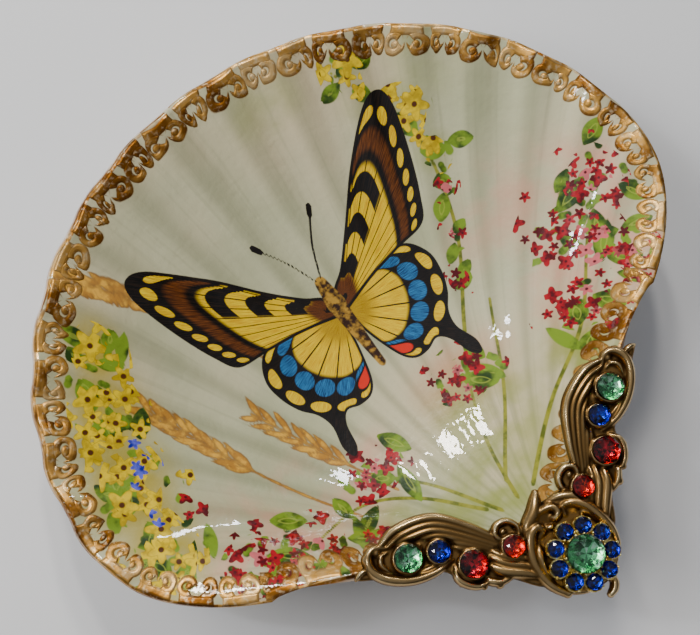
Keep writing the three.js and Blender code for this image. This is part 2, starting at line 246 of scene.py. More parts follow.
def scroll_border(f, along, inward):
    """Signed distance in mm of the gold border: a bar along the rim whose two ends curl in as volutes."""
    cell = f.calc("PINGPONG", f.plus(along, f.stray(230.0, 1.0, BRUSH_STRAY)), SCROLL_PERIOD / 2)
    deep = f.calc("MULTIPLY_ADD", inward, BORDER_SQUEEZE, f.stray(150.0, 1.0, BRUSH_STRAY))

    def off(value, at):
        return f.calc("ABSOLUTE", f.minus(value, at))

    def ring(x, y, radius, half):
        return f.minus(off(f.length(f.minus(cell, x), f.minus(deep, y)), radius), half)

    bar = f.calc("MAXIMUM", f.minus(off(deep, 0.95), 0.82), f.minus(cell, 3.3))
    opening = f.minus(0.75, f.plus(off(cell, 0.7), f.times(off(deep, 2.55), 0.9)))
    volute = f.calc("MAXIMUM", ring(2.1, 2.95, 1.3, 0.66), opening)
    ball = ring(1.75, 3.15, 0.0, 0.7)
    return f.calc("MINIMUM", f.calc("MINIMUM", bar, volute), ball)


def florets(f, flat, size, petals, shift):
    """Flowers strewn at random: signed distance in mm, a random value of each, distance from its heart."""
    moved = {0: flat, 1: (1 / size,) * 3, 2: (shift, shift * 0.7, 0)}
    scaled = f.add("VectorMath", moved, operation="MULTIPLY_ADD")
    inputs = {"Vector": scaled, "Scale": 1.0, "Randomness": 0.9}
    cells = f.add("TexVoronoi", inputs, voronoi_dimensions="2D", feature="F1").node
    away = f.add("VectorMath", {0: scaled, 1: cells.outputs["Position"]}, operation="SUBTRACT")
    x, y, _ = f.parts(away)
    first, second, third = f.parts(cells.outputs["Color"])
    heart = f.length(x, y)
    turn = f.calc("MULTIPLY_ADD", f.calc("ARCTAN2", y, x), petals, f.times(first, 6.283))
    lobes = f.calc("MULTIPLY_ADD", f.calc("COSINE", turn), 0.24, 0.76)
    reach = f.times(lobes, f.calc("MULTIPLY_ADD", second, 0.12, 0.38))
    return f.times(f.minus(heart, reach), size), third, f.times(heart, size)


def strewn(f, flat, crowd, flower, soft=0.15):
    """One layer of flowers, thickest in their crowd: the cover, and what florets gives."""
    size, petals, shift, share = flower
    shape, pick, heart = florets(f, flat, size, petals, shift)
    filled = f.calc("LESS_THAN", pick, f.times(crowd, share))
    return f.times(inside(f, shape, soft), filled), shape, pick, heart


def painted_ground(f, across, inward, washes):
    """Cream paper under resin, grey-green painted shade in the grooves between the ribs, with thin washes of
    colour.
    """
    colour = f.mix(f.ramp(f.noise(30.0, 4.0), 0.35, 0.65), "#a7aa88", "#b9b999")
    colour = f.mix(f.ramp(f.noise(17.0, 3.0), 0.46, 0.7, 0.0, 0.8), colour, "#c8b898")
    # Painted shade: a wide soft band and a narrow dark line of grey-green along each groove between the ribs.
    phase = f.calc("ABSOLUTE", f.minus(f.calc("FRACT", f.times(across, RIBS / 2)), 0.5))
    groove = f.plus(f.stray(60.0, 2.0, 0.12), phase)
    shade = f.calc("MAXIMUM", f.ramp(groove, 0.3, 0.04, 0.0, 0.34), f.ramp(groove, 0.075, 0.02, 0.0, 0.38))
    colour = f.mix(shade, colour, "#6c7152")
    streak = f.add("CombineXYZ", {0: f.times(across, 70.0), 1: f.times(inward, 0.03)})
    colour = f.mix(f.ramp(f.noise(1.0, 3.0, streak), 0.5, 0.75, 0.0, 0.28), colour, "#83876a")
    blotch = f.noise(120.0, 3.0)
    for wash, (tint, low, high) in zip(washes, WASHES):
        colour = f.mix(f.times(wash, f.ramp(blotch, low, high)), colour, tint)
    return colour


def painted_plants(f, colour, flat, greens, crowds):
    """Straw, stems, leaves and strewn flowers over the ground."""
    leaf, stem, straw = greens
    yellows, reds, blues = crowds
    grain = f.noise(420.0, 3.0)
    bristle = f.plus(f.stray(700.0, 2.0, 0.35), straw)
    ripe = f.mix(f.ramp(grain, 0.4, 0.62), "#a8700c", "#dca42c")
    ripe = f.mix(f.ramp(bristle, -0.5, -0.05, 0.0, 0.8), ripe, "#6e460c")
    colour = f.mix(f.times(inside(f, bristle, 0.18), 0.9), colour, ripe)
    colour = f.mix(inside(f, stem), colour, f.mix(f.ramp(grain, 0.35, 0.6), "#4f5a14", "#85862a"))
    among = strewn(f, flat, f.calc("MAXIMUM", yellows, reds), SMALL_LEAVES, 0.2)[0]
    green = f.mix(f.ramp(f.noise(260.0, 3.0), 0.36, 0.6), "#1d3608", "#6d8a1e")
    colour = f.mix(f.calc("MAXIMUM", inside(f, leaf, 0.16), among), colour, green)
    rib_of_leaf = f.ramp(f.calc("ABSOLUTE", f.plus(leaf, 1.35)), 0.2, 0.05, 0.0, 0.5)
    colour = f.mix(f.times(rib_of_leaf, inside(f, leaf, 0.1)), colour, "#9aa83c")
    for flower in RED_FLOWERS:
        bloom, _, pick, heart = strewn(f, flat, reds, flower, 0.12)
        petal = f.mix(f.ramp(f.noise(500.0, 2.0), 0.38, 0.62), "#4c0008", "#9e0a1a")
        petal = f.mix(f.ramp(pick, 0.6, 0.8, 0.0, 0.65), petal, "#d8787c")
        colour = f.mix(bloom, colour, f.mix(f.ramp(heart, 0.4, 0.15), petal, "#4c0410"))
    for flower in YELLOW_FLOWERS:
        bloom, shape, _, heart = strewn(f, flat, yellows, flower)
        petal = f.mix(f.ramp(grain, 0.35, 0.62), "#a88e00", "#dcbf00")
        petal = f.mix(f.ramp(shape, -0.4, 0.0, 0.0, 0.5), petal, "#7d6400")
        colour = f.mix(bloom, colour, f.mix(f.ramp(heart, 0.7, 0.4), petal, "#4a2606"))
    bloom = strewn(f, flat, blues, BLUE_FLOWERS)[0]
    return f.mix(bloom, colour, f.mix(f.ramp(grain, 0.4, 0.6), "#10158c", "#5a5fd0"))


def painted_butterfly(f, colour, fore, hind, insect):
    """Yellow wings with dark veins and borders, a blue band behind and one red spot a side."""
    silk = f.add("CombineXYZ", {0: f.times(fore[0], 40.0), 1: f.times(fore[1], 3.0)})
    grain = f.noise(3.0, 3.0, silk)
    ochre = f.mix(f.ramp(grain, 0.35, 0.65), "#c09000", "#e6c800")
    dark = f.mix(f.ramp(grain, 0.4, 0.7), "#050403", "#1f140b")
    brown = f.mix(f.ramp(grain, 0.35, 0.65), "#301604", "#6b3a12")

    def band(value, low, high, soft=0.02):
        return f.times(f.ramp(value, low - soft, low + soft), f.ramp(value, high + soft, high - soft))

    def between(t, count):
        return f.minus(f.calc("FRACT", f.times(t, count)), 0.5)

    def veins(t, r, count, width):
        """Dark lines that fan out from the wing's root."""
        cell = f.minus(0.5, f.calc("ABSOLUTE", between(t, count)))
        return f.ramp(f.times(cell, f.plus(r, 0.15)), width, width * 0.4)

    def rounded(x, y):
        return f.ramp(f.squares(x, y), 1.15, 0.85)

    def spots(t, r, count, at, tall, wide):
        """A row of rounded spots between the veins."""
        return rounded(f.calc("DIVIDE", between(t, count), wide), f.calc("DIVIDE", f.minus(r, at), tall))

    def eye(t, r, size):
        """The one round spot of a hind wing, near the body."""
        return rounded(f.calc("DIVIDE", f.minus(t, 0.06), size), f.calc("DIVIDE", f.minus(r, 0.8), size * 0.9))

    t, r, edge = hind
    wing = f.mix(veins(t, r, 6.0, 0.045), ochre, dark)
    wing = f.mix(band(r, 0.0, 0.3, 0.08), wing, f.mix(0.5, ochre, brown))
    wing = f.mix(band(r, 0.62, 1.6), wing, dark)
    blues = f.mix(f.ramp(grain, 0.36, 0.62), "#06204e", "#2a74aa")
    wing = f.mix(spots(t, r, 6.0, 0.73, 0.085, 0.46), wing, blues)
    wing = f.mix(spots(t, r, 6.0, 0.915, 0.05, 0.38), wing, ochre)
    wing = f.mix(eye(t, r, 0.12), wing, dark)
    wing = f.mix(eye(t, r, 0.09), wing, "#c8240e")
    wing = f.mix(f.ramp(edge, -0.75, -0.4), wing, dark)
    colour = f.mix(inside(f, edge, 0.1), colour, wing)

    t, r, edge = fore
    wing = f.mix(veins(t, r, 8.0, 0.05), ochre, dark)
    wing = f.mix(band(r, 0.0, 0.2, 0.04), wing, brown)
    stripes = f.ramp(f.calc("SINE", f.times(r, 34.0)), -0.1, 0.15)
    wing = f.mix(f.times(stripes, f.ramp(t, 0.6, 0.66)), wing, dark)
    wing = f.mix(band(r, 0.7, 1.6), wing, brown)
    wing = f.mix(band(r, 0.68, 0.74), wing, dark)
    wing = f.mix(band(r, 0.83, 1.6), wing, dark)
    wing = f.mix(spots(t, r, 8.0, 0.905, 0.035, 0.36), wing, ochre)
    wing = f.mix(f.ramp(edge, -0.85, -0.45), wing, dark)
    colour = f.mix(inside(f, edge, 0.1), colour, wing)

    body, feelers, _ = insect
    fur = f.mix(f.ramp(f.noise(700.0, 3.0), 0.4, 0.65), "#2a1505", "#a8802c")
    colour = f.mix(inside(f, body, 0.15), colour, fur)
    return f.mix(inside(f, feelers, 0.08), colour, "#120c08")


def painted_hollow():
    """Glossy resin over a painted cream ground, with washes, flowers, a butterfly and a gilt border."""
    gloss = {"Roughness": 0.3, "Specular_IOR_Level": 0.15, "Coat_Weight": 1.0, "Coat_Roughness": 0.035}
    f = Finish("painted_hollow_gloss", **gloss)
    along, inward, across = f.kept("rim_place")
    flat = f.add("Attribute", out=1, attribute_name="plan")
    colour = painted_ground(f, across, inward, f.kept("washes"))
    colour = painted_plants(f, colour, flat, f.kept("greens"), f.kept("crowds"))
    colour = painted_butterfly(f, colour, f.kept("fore_wing"), f.kept("hind_wing"), f.kept("insect"))
    border = scroll_border(f, along, inward)
    edge = f.times(f.ramp(inward, 0.6, 0.3), f.ramp(f.noise(60.0, 2.0), 0.62, 0.52))
    gilt = f.calc("MAXIMUM", inside(f, border, 0.12), edge)
    rim_line = f.ramp(f.calc("ABSOLUTE", f.plus(border, 0.05)), 0.2, 0.04, 0.0, 0.5)
    gold = f.mix(rim_line, gold_colour(f, along), "#5a3410")
    colour = f.mix(gilt, colour, gold)
    swell = f.bump(f.noise(75.0, 2.0), 0.0010, 0.35)
    swell = f.bump(f.noise(330.0, 2.0), 0.00025, 0.35, swell)
    metal = f.bump(f.ramp(border, 0.05, -0.5), 0.00028, 0.7, swell)
    metal = f.bump(f.noise(900.0, 2.0), 0.00012, 0.5, metal)
    return f.finish(
        Base_Color=colour,
        Metallic=f.times(gilt, 0.8),
        Roughness=f.ramp(gilt, 0.0, 1.0, 0.3, 0.4),
        Normal=metal,
        Coat_Weight=f.ramp(gilt, 0.0, 1.0, 1.0, 0.25),
        Coat_Normal=swell,
    )


def shell_outside():
    """Bare shell: matt cream and grey-rose growth bands across the ribs, gilt only at the rim."""
    f = Finish("bare_shell_matt", Roughness=0.55)
    along, inward, across = f.kept("rim_place")
    rings = f.add("CombineXYZ", {0: f.times(inward, 0.22), 1: f.times(across, 0.8)})
    band = f.noise(1.0, 4.0, rings)
    base = f.mix(f.ramp(band, 0.35, 0.65), "#d8cdb8", "#b79f8b")
    base = f.mix(f.ramp(f.noise(300.0, 3.0), 0.4, 0.7, 0.0, 0.4), base, "#efe8da")
    edge = f.ramp(f.plus(inward, f.times(f.noise(200.0), 1.2)), 1.4, 0.9)
    colour = f.mix(edge, base, gold_colour(f, along))
    bump = f.bump(band, 0.0005, 0.5)
    return f.finish(Base_Color=colour, Metallic=f.times(edge, 0.85), Normal=bump)


def antiqued_brass():
    """Stamped brass: rubbed bright on the crests, a painted highlight of pale gold on the highest, near-black
    brown patina left in the hollows.
    """
    f = Finish("antiqued_brass", Metallic=1.0)
    wear_and_highlight = f.plus(f.kept("relief")[0], f.stray(300.0, 3.0, 0.22))
    colour = f.mix(f.ramp(wear_and_highlight, -0.34, -0.06), "#2a1b0c", "#826338")
    colour = f.mix(f.ramp(wear_and_highlight, -0.02, 0.24), colour, "#b59665")
    # Painted highlight: the highest crests go near-white pale gold, over the rubbed bright brass.
    colour = f.mix(f.ramp(wear_and_highlight, 0.22, 0.42), colour, "#f0d8a6")
    rough = f.ramp(wear_and_highlight, -0.3, 0.2, 0.48, 0.24)
    return f.finish(Base_Color=colour, Roughness=rough, Normal=f.bump(f.noise(1500.0, 3.0), 0.00003, 0.4))


def bright_gilt():
    """Plated gilt: bright yellow gold with soft scratches."""
    f = Finish("bright_gilt", Metallic=1.0)
    colour = f.mix(f.ramp(f.noise(700.0, 3.0), 0.35, 0.6), "#dcb23c", "#fff0a0")
    rough = f.ramp(f.noise(900.0), 0.3, 0.7, 0.14, 0.32)
    return f.finish(Base_Color=colour, Roughness=rough)


def cut_glass(name, colour):
    """Clear coloured glass, its colour and clearness plain values on the shader."""
    return Finish(name, Base_Color=colour, Roughness=0.01, IOR=1.55, Transmission_Weight=1.0).material


def foil(name, dark, full, glint):
    """Coloured foil seen through a stone: dark, full and glinting facets in turn, the dark ones painted shade and
    the glinting ones painted glints.
    """
    f = Finish(name, Metallic=1.0, Roughness=0.14)
    shade, _, _ = f.kept("facet")
    # Painted shade and painted glints: each facet's random value makes it dark, full or near-white.
    colour = f.mix(f.ramp(shade, 0.15, 0.55), dark, full)
    return f.finish(Base_Color=f.mix(f.ramp(shade, 0.72, 0.86), colour, glint))


# ---- Shell ----

LAST_TURN = math.pi / 2 + math.asin(FAN_BEHIND / FAN_CENTRE)


def outline(turn):
    """The fan's edge seen square to the rim, the beak at the origin."""
    ahead = np.where(np.cos(turn) > 0, FAN_AHEAD, FAN_BEHIND)
    return FAN_HALF_WIDTH * np.sin(turn), FAN_CENTRE + ahead * np.cos(turn)


FLANK_ANGLE = math.atan2(*[float(v) for v in outline(np.array(LAST_TURN))])


def rib_wave(across):
    """The ribs across the fan as a squared-off wave, level at the flanks."""
    wave = np.tanh(RIB_SQUARENESS * np.cos(math.pi * RIBS * across)) / math.tanh(RIB_SQUARENESS)
    return wave * (1 - np.abs(across) ** 10)


def wall(turn, outward, rib_height, fade=RIB_FADE):
    """A point of the shell's wall in the rim frame, and its place across the fan."""
    x, y = outline(turn)
    across = np.arctan2(x, y) / FLANK_ANGLE
    angle = np.arctan2(x, y) * (1 - FAN_CLOSING * (1 - outward) ** 0.6)
    rib = rib_wave(across) * outward**RIB_FADE
    reach = outward * (np.hypot(x, y) + RIM_SCALLOP * rib * outward)
    floor = np.sin(math.pi * outward**DEEPEST_SHARE) * (1 - np.abs(across) ** FLANK_SHARPNESS)
    z = -HOLLOW_DEPTH * floor - rib_height * rib_wave(across) * outward**fade
    return np.stack([reach * np.sin(angle), reach * np.cos(angle), z], -1), across


def wall_normal(turn, outward):
    """The smooth wall's direction upwards, taken from small steps to each side."""
    step = 1e-3
    low, high = np.maximum(outward - step, step), np.minimum(outward + step, 1 - step / 10)
    left = np.maximum(turn - step, -LAST_TURN + step / 10)
    right = np.minimum(turn + step, LAST_TURN - step / 10)
    middle = np.clip(outward, 2 * step, 1)
    outwards = wall(turn, high, 0)[0] - wall(turn, low, 0)[0]
    sideways = wall(right, middle, 0)[0] - wall(left, middle, 0)[0]
    normal = np.cross(outwards, sideways)
    return normal / np.linalg.norm(normal, axis=-1, keepdims=True)


def rim_place(plan):
    """Distance along the shell's edge and distance inward from it, for points seen square to the rim."""
    turns = np.linspace(-LAST_TURN, LAST_TURN, 700)
    rim = wall(turns, np.ones_like(turns), 0)[0][:, :2]
    steps = np.linspace(1, 0.02, 90)
    flank = wall(np.full_like(steps, LAST_TURN), steps, 0)[0][:, :2]
    edge = np.concatenate([flank[::-1] * [-1, 1], rim, flank])
    length = np.concatenate([[0], np.cumsum(np.linalg.norm(np.diff(edge, axis=0), axis=1))])
    length -= length[-1] / 2
    a, b = edge[:-1], edge[1:]
    ab = b - a
    size = np.maximum((ab**2).sum(1), 1e-9)
    along, inward = np.empty(len(plan)), np.empty(len(plan))
    for start in range(0, len(plan), 4000):
        p = plan[start : start + 4000]
        t = np.clip(((p[:, None] - a) * ab).sum(-1) / size, 0, 1)
        away = np.linalg.norm(p[:, None] - (a + t[..., None] * ab), axis=-1)
        k = away.argmin(1)
        rows = np.arange(len(p))
        inward[start : start + 4000] = away[rows, k]
        along[start : start + 4000] = length[k] + t[rows, k] * np.sqrt(size[k])
    return along, inward


def route_distance(plan, route, width_start, width_end=None):
    """Distance in mm from a line of straight steps, less its half width."""
    width_end = width_start if width_end is None else width_end
    route = np.asarray(route, float)
    best = np.full(len(plan), 99.0)
    for i in range(len(route) - 1):
        a, ab = route[i], route[i + 1] - route[i]
        t = np.clip(((plan - a) @ ab) / max(ab @ ab, 1e-9), 0, 1)
        share = (i + t) / (len(route) - 1)
        width = width_start + (width_end - width_start) * share
        best = np.minimum(best, np.linalg.norm(plan - (a + t[:, None] * ab), axis=1) - width)
    return best


def curve(points, count=24):
    """A smooth route through a few points."""
    p = np.asarray(points, float)
    p = np.concatenate([[2 * p[0] - p[1]], p, [2 * p[-1] - p[-2]]])
    out = []
    for i in range(1, len(p) - 2):
        for t in np.linspace(0, 1, count // (len(p) - 3) + 1, endpoint=False):
            a, b, c, d = p[i - 1 : i + 3]
            bend, twist = 2 * a - 5 * b + 4 * c - d, 3 * b - a - 3 * c + d
            out.append(0.5 * (2 * b + (c - a) * t + bend * t**2 + twist * t**3))
    return np.array(out + [p[-2]])


def leaf_distance(plan, root, angle, length, width):
    """A pointed leaf as a signed distance, roughly in mm."""
    c, s = math.cos(angle), math.sin(angle)
    x = ((plan - root) @ [c, s]) / length
    y = (plan - root) @ [-s, c]
    half = width * np.sin(np.clip(x, 0, 1) * math.pi) ** 0.8
    return np.where((x > -0.05) & (x < 1.05), np.abs(y) - half, FAR)


def inside_loop(plan, loop):
    """Whether each point lies inside a closed line: its way out crosses the line an odd number of times."""
    x, y = plan[:, 0], plan[:, 1]
    within = np.zeros(len(plan), bool)
    for a, b in zip(loop[:-1], loop[1:]):
        crosses = (a[1] > y) != (b[1] > y)
        within ^= crosses & (x < (b[0] - a[0]) * (y - a[1]) / (b[1] - a[1] + 1e-12) + a[0])
    return within


def paint_fields(plan):
    """Where the washes, stems, leaves and crowds of flowers lie. The layout is by rule and seed."""
    leaf, stem, straw = (np.full(len(plan), FAR) for _ in range(3))
    washes, crowds = np.zeros((3, len(plan))), np.zeros((3, len(plan)))

    def cloud(field, centre, size, strength, turn=0.0):
        c, s = math.cos(turn), math.sin(turn)
        d = (plan - centre) @ np.array([[c, -s], [s, c]]) / size
        np.maximum(field, strength * np.exp(-((d**2).sum(1) ** 1.5)), out=field)

    def leaves(centre, count, spread, low=5.0, high=9.0):
        nonlocal leaf
        for _ in range(count):
            root = np.array(centre) + rng.normal(0, spread, 2)
            width = rng.uniform(1.2, 2.1)
            shape = leaf_distance(plan, root, rng.uniform(0, 2 * math.pi), rng.uniform(low, high), width)
            leaf = np.minimum(leaf, shape)

    def stems(*routes):
        nonlocal stem
        for route in routes:
            stem = np.minimum(stem, route_distance(plan, curve(route), 0.42, 0.28))

    pink, green, yellow = 0, 1, 2
    # A long bank of yellow flowers on one flank, violet-blue ones among them.
    for centre, size in (((-57, 47), (6, 9)), ((-55, 60), (7, 10)), ((-50, 73), (6, 9)), ((-44, 84), (4, 6))):
        cloud(crowds[0], centre, size, 1.0, -0.3)
        cloud(washes[yellow], centre, (size[0] * 1.25, size[1] * 1.2), 0.9, -0.3)
        leaves(centre, 5, 3.4, 4.0, 7.0)
    cloud(crowds[2], (-50, 62), (3.4, 4.6), 1.0)
    cloud(crowds[2], (-54, 52), (2.2, 2.6), 0.7)
    cloud(crowds[1], (-50, 51), (3, 3), 0.7)
    # A lighter spray near the front edge.
    stems([(18, 44), (30, 62), (34, 82), (27, 100)])
    for centre, size in (((29, 97), (3.5, 6)), ((34, 86), (4.5, 5)), ((35, 76), (3, 3))):
        cloud(crowds[0], centre, size, 1.0)
        cloud(washes[green], centre, (size[0] * 1.3, size[1] * 1.3), 0.6)
        leaves(centre, 3, 2.4, 3.5, 6.0)
    for centre in ((33, 69), (29, 61), (24, 53)):
        cloud(crowds[1], centre, (2.4, 2.4), 0.9)
        leaves(centre, 2, 1.6, 3.5, 6.0)
    cloud(washes[green], (12, 103), (9, 6), 0.4)
    cloud(washes[green], (44, 92), (8, 9), 0.3)
    # Red and pink clusters on the other flank and round the hinge side.
    for centre, size in (
        ((45, 42), (8, 9)), ((54, 50), (6, 7)), ((37, 33), (6, 6)), ((50, 33), (5, 6)),
        ((12, 37), (7, 5)), ((-16, 34), (6, 5)), ((-37, 30), (8, 5)), ((-46, 34), (6, 5)), ((-25, 22), (4, 3)),
    ):
        cloud(crowds[1], centre, size, 1.0)
        cloud(washes[pink], centre, (size[0] * 1.5, size[1] * 1.4), 0.75)
        leaves(centre, 4, size[0] * 0.6, 5.0, 9.0)
    cloud(washes[pink], (40, 58), (14, 9), 0.45)
    cloud(washes[pink], (-36, 40), (15, 9), 0.45)
    stems([(-4, 14), (-12, 24), (-22, 30), (-36, 30)], [(2, 12), (6, 24), (12, 36)])
    stems([(6, 12), (20, 22), (34, 30), (46, 42)], [(-2, 12), (-8, 24), (-16, 34)])
    stems([(3, 16), (16, 30), (26, 46)])
    for centre, size in (((0, 16), (16, 11)), ((10, 28), (12, 12)), ((-14, 20), (11, 8)), ((30, 24), (10, 9))):
        cloud(washes[green], centre, size, 0.9)
    # Ripe grass, its ears made of grains that lean forward on both sides of the stalk.
    for route, ear_start, ear_end in (
        ([(-12, 52), (-22, 74), (-31, 88), (-41, 99)], 0.55, 1.0),
        ([(-22, 26), (-32, 44), (-43, 70)], 0.6, 1.0),
        ([(-14, 28), (-19, 40), (-27, 58)], 0.45, 0.95),
    ):
        line = curve(route, 60)
        straw = np.minimum(straw, route_distance(plan, line, 0.3, 0.3))
        count = int(np.linalg.norm(line[-1] - line[0]) * (ear_end - ear_start) / GRAIN_SPACING)
        for share in np.linspace(ear_start, ear_end, count):
            k = min(int(share * (len(line) - 1)), len(line) - 2)
            ahead = math.atan2(*(line[k + 1] - line[k])[::-1])
            for lean in (-GRAIN_LEAN, GRAIN_LEAN):
                size = rng.uniform(4.8, 6.0) * (1.15 - 0.5 * abs(share - 0.72))
                angle = ahead + lean * rng.uniform(0.8, 1.15)
                grain = leaf_distance(plan, line[k], angle, size, rng.uniform(0.6, 0.85))
                straw = np.minimum(straw, grain)
    return washes, (leaf, stem, straw), crowds


# Half of a butterfly: the outlines of its wings, and the outer edge that a hind wing's pattern follows.
FORE_WING = [
    (1, -0.5), (9, 1.6), (17, 2.8), (24, 3.6), (27, 8), (29.6, 14), (31.8, 20.5), (33, 25.6), (32.4, 28.8),
    (29.4, 29.2), (25, 26.6), (18, 20.4), (11, 13), (5, 7), (1.2, 4.2),
]
HIND_WING = [
    (1, 1.4), (8, 3.6), (14, 4.2), (19, 2.6), (21.6, -1.6), (21.4, -6), (19.8, -10.2), (17.4, -13.4),
    (16.6, -17), (17.8, -21.6), (17, -24.4), (15.2, -23), (14, -18.4), (12, -16.2), (9.2, -17), (6.2, -16.8),
    (4, -14.6), (2.2, -9.5), (1, -4),
]
HIND_MARGIN = [
    (3.4, -14.8), (6.2, -16.8), (9.2, -17.2), (13, -16.6), (17.4, -13.4), (19.8, -10.2), (21.4, -6),
    (21.6, -1.6), (19, 2.6), (14, 4.2),
]
BUTTERFLY_AT = [1.0, 63.0]


def wing_fields(plan, edge, margin):
    """Place in a wing: across its fan, from root to margin, and the signed distance from its edge in mm."""
    loop = curve(np.array(edge + edge[:1], float), 5 * len(edge))
    signed = route_distance(plan, loop, 0.0)
    signed = np.where(inside_loop(plan, loop), -signed, signed)
    rim = curve(np.array(margin, float), 40)
    angles, reach = np.arctan2(rim[:, 1], rim[:, 0]), np.hypot(rim[:, 0], rim[:, 1])
    order = np.argsort(angles)
    angle = np.arctan2(plan[:, 1], np.maximum(plan[:, 0], 1e-3))
    t = (angle - angles.min()) / (angles.max() - angles.min())
    return t, np.hypot(plan[:, 0], plan[:, 1]) / np.interp(angle, angles[order], reach[order]), signed


def butterfly(plan):
    """A plain, even-sided butterfly in line with the shell, head towards the fan's front edge."""
    q = plan - BUTTERFLY_AT
    mirrored = np.column_stack([np.abs(q[:, 0]), q[:, 1]])
    fore = wing_fields(mirrored, FORE_WING, FORE_WING[3:11])
    hind = wing_fields(mirrored, HIND_WING, HIND_MARGIN)
    front = route_distance(q, curve([(0, 7.2), (0, 2)]), 1.25, 2.0)
    body = np.minimum(front, route_distance(q, curve([(0, 2), (0, -5), (0, -13)]), 1.9, 0.8))
    feelers = np.full(len(plan), FAR)
    for side in (-1, 1):
        stalk = route_distance(q, curve([(side * 0.6, 8), (side * 3.2, 14), (side * 6.8, 19.5)]), 0.2, 0.26)
        club = route_distance(q, [(side * 6.4, 18.9), (side * 7.3, 20.4)], 0.55, 0.6)
        feelers = np.minimum(feelers, np.minimum(stalk, club))
    return fore, hind, body, feelers


# The shell's mesh: steps across a rib, rows inside and outside, and the first row's share of the way out.
STEPS_PER_RIB, INNER_ROWS, OUTER_ROWS, FIRST_ROW = 28, 150, 46, 0.012


def build_shell():
    """The shell as rows of one mesh: the inner face from beak to rim, a rounded lip, the outer face back."""
    across_steps = RIBS * STEPS_PER_RIB
    width = across_steps + 1
    turns = np.linspace(-LAST_TURN, LAST_TURN, width)
    level = np.ones_like(turns)
    inner_rows = np.linspace(FIRST_ROW, 1, INNER_ROWS)
    outer_rows = np.linspace(1, FIRST_ROW, OUTER_ROWS)
    rows = [wall(turns, level * outward, INNER_RIB, RESIN_FADE)[0] for outward in inner_rows]
    across = wall(turns, level, 0)[1]
    rim_in, rim_out = rows[-1], wall(turns, level, OUTER_RIB)[0] + wall_normal(turns, level) * SHELL_WALL
    for share in (0.25, 0.5, 0.75):
        lift = RIM_ROUNDING * math.sin(math.pi * share)
        rows.append(rim_in * (1 - share) + rim_out * share + np.array([0, 0, lift]))
    for outward in outer_rows:
        outer = wall(turns, level * outward, OUTER_RIB)[0]
        rows.append(outer + wall_normal(turns, level * outward) * SHELL_WALL)
    points = np.concatenate(rows)
    count, inner_count = len(rows), len(inner_rows)
    faces = []
    for j in range(count - 1):
        a = j * width + np.arange(across_steps)
        faces += np.stack([a, a + 1, a + width + 1, a + width], 1).tolist()
    between_rows = len(faces)
    # The flanks are closed between the inner and the outer rows, and the beak across the fan.
    partner = count - 1 - np.rint(np.linspace(0, len(outer_rows) - 1, inner_count)).astype(int)
    for side, order in ((0, 1), (across_steps, -1)):
        for j in range(inner_count - 1):
            here, ahead = int(partner[j]), int(partner[j + 1])
            loop = [j, j + 1, ahead] + ([here] if here != ahead else [])
            faces.append([row * width + side for row in loop][::order])
        faces.append([row * width + side for row in range(inner_count - 1, inner_count + 4)][::order])
    last = (count - 1) * width
    faces += [(i + 1, i, last + i, last + i + 1) for i in range(across_steps)]
    points_row = to_row(points)
    points_row[:, 2] = np.maximum(points_row[:, 2], 0.0)
    shell = make_object("painted_shell", points_row, faces)

    plan = points[:, :2]
    none = np.zeros(len(plan))
    along, inward = rim_place(plan)
    washes, greens, crowds = paint_fields(plan)
    fore, hind, body, feelers = butterfly(plan)
    fields = {
        "rim_place": (along, inward, np.tile(across, count)), "plan": (*plan.T, none),
        "washes": washes, "greens": greens, "crowds": crowds,
        "fore_wing": fore, "hind_wing": hind, "insect": (body, feelers, none),
    }
    for name, values in fields.items():
        store(shell, name, np.stack(values, 1))
    shell.data.materials.append(painted_hollow())
    shell.data.materials.append(shell_outside())
    outside = np.ones(len(faces), np.int32)
    outside[:between_rows] = np.repeat(np.arange(count - 1), across_steps) >= inner_count + 1
    shell.data.polygons.foreach_set("material_index", outside)
    return shell


# ---- Brass corner ----


def on_arm(points, side):
    """Places along and across an arm, turned to where the right (1) or the left (-1) arm lies."""
    p = np.atleast_2d(np.asarray(points, float))
    c, s = math.cos(ARM_ANGLE), math.sin(ARM_ANGLE)
    return np.stack([side * (p[:, 0] * c - p[:, 1] * s), p[:, 0] * s + p[:, 1] * c], 1)


CELL = 0.16  # of the relief, in mm
# The plan of an arm.
ARM_EDGE = [
    (3.6, 2.2), (8.8, 2.8), (11.6, 5.5), (14.2, 3.9), (18.6, 5.6), (25, 7.8), (31, 6.4), (36, 3),
    (38.4, 0.2), (40.4, -2.2), (36, -2.7), (30.8, -3.8), (24, -2.6), (20.8, -5), (16.6, -5.9),
    (12.4, -5), (4.6, -7.2),
]

